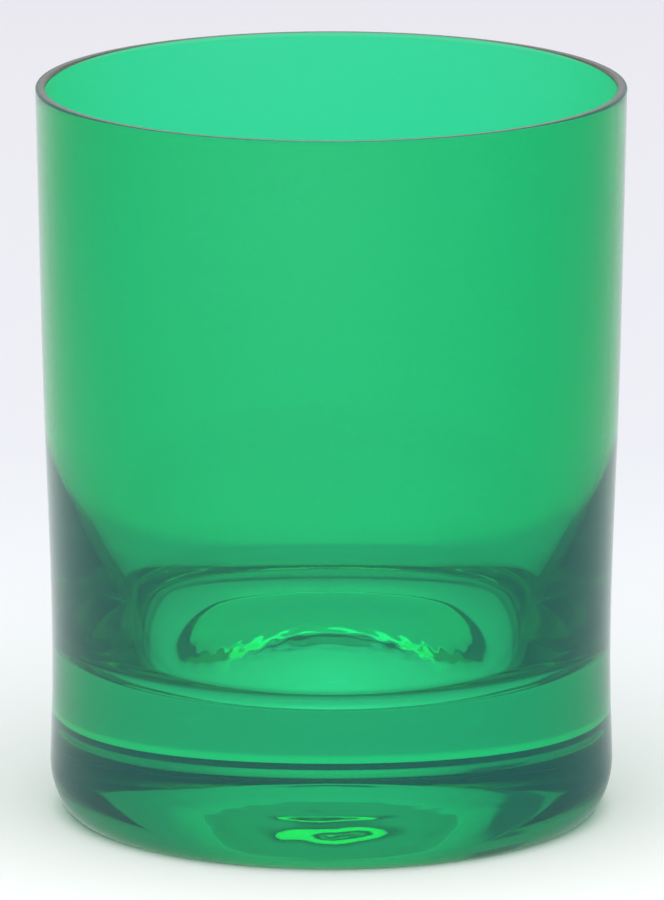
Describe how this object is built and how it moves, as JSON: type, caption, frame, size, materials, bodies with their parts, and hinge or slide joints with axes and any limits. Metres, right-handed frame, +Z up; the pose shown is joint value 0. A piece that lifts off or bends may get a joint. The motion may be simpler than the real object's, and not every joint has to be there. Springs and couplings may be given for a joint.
{
  "type": "double old fashioned glass",
  "caption": "Straight-sided double old fashioned tumbler of clear glass cased in green, with a heavy solid base, a thin polished rim, a rounded foot and a ground underside with a wide polished hollow.",
  "frame": {"origin": "centre of the foot, on the plane that the glass stands on", "axes": "+Z up along the axis of the glass, +X to the right as the picture sees it, -Y towards the viewer"},
  "size_m": [0.086, 0.086, 0.1075],
  "materials": {
    "clear_glass": "fire-polished clear glass, smooth inside, with a flat polished rim",
    "green_glass": "thin transparent emerald green layer, smooth and glossy outside"
  },
  "bodies": {
    "root": {"clear_body": "clear_glass", "green_casing": "green_glass"}
  },
  "joints": []
}
